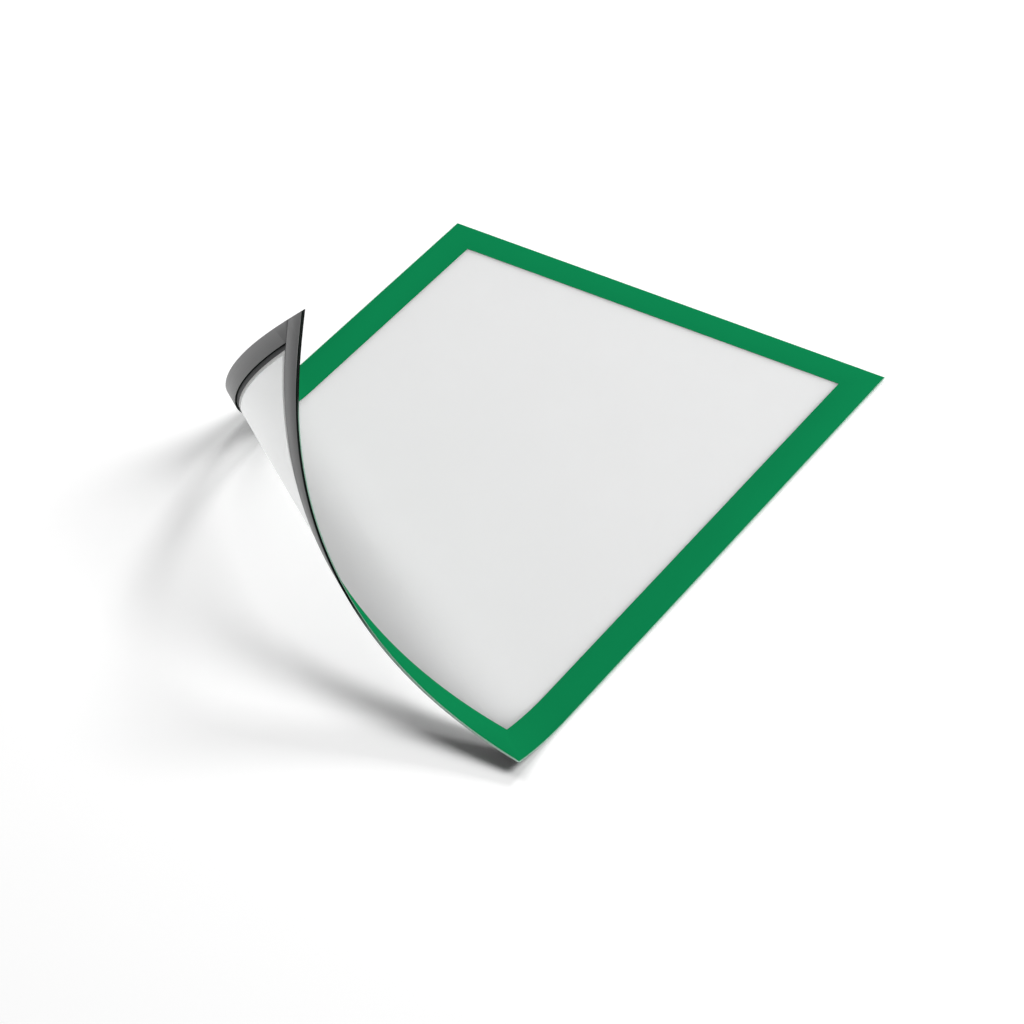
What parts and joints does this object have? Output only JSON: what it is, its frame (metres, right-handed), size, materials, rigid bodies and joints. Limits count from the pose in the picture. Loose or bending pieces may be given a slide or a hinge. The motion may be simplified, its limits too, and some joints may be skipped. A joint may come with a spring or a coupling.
{
  "type": "magnetic display frame",
  "caption": "Flexible display frame for an A4 sheet, with a coloured border, a clear window and magnet strips behind, lying front up with one lower corner curled over.",
  "frame": {"origin": "middle of the top magnet strip's rear face, in the plane that the frame lies or sticks on", "axes": "+X to the right across the front, +Y towards the top edge, +Z out of the front face; the flat part of the leaf lies in the XY plane and the curled corner is at -X -Y"},
  "size_m": [0.2363, 0.3225, 0.1164],
  "materials": {
    "clear_film": "clear film with a fine matt anti-glare face",
    "green_film": "matt green film",
    "dark_backing": "matt dark grey film",
    "magnetic_rubber": "satin charcoal magnetic rubber with black cut edges",
    "adhesive_tape": "thin double-sided adhesive tape"
  },
  "bodies": {
    "root": {"window_film": "clear_film", "colour_border": "green_film", "backing_border": "dark_backing", "top_magnet_strip": "magnetic_rubber", "bottom_magnet_strip": "magnetic_rubber", "left_magnet_strip": "magnetic_rubber", "right_magnet_strip": "magnetic_rubber", "top_bonding_tape": "adhesive_tape", "bottom_bonding_tape": "adhesive_tape", "left_bonding_tape": "adhesive_tape", "right_bonding_tape": "adhesive_tape"}
  },
  "joints": []
}
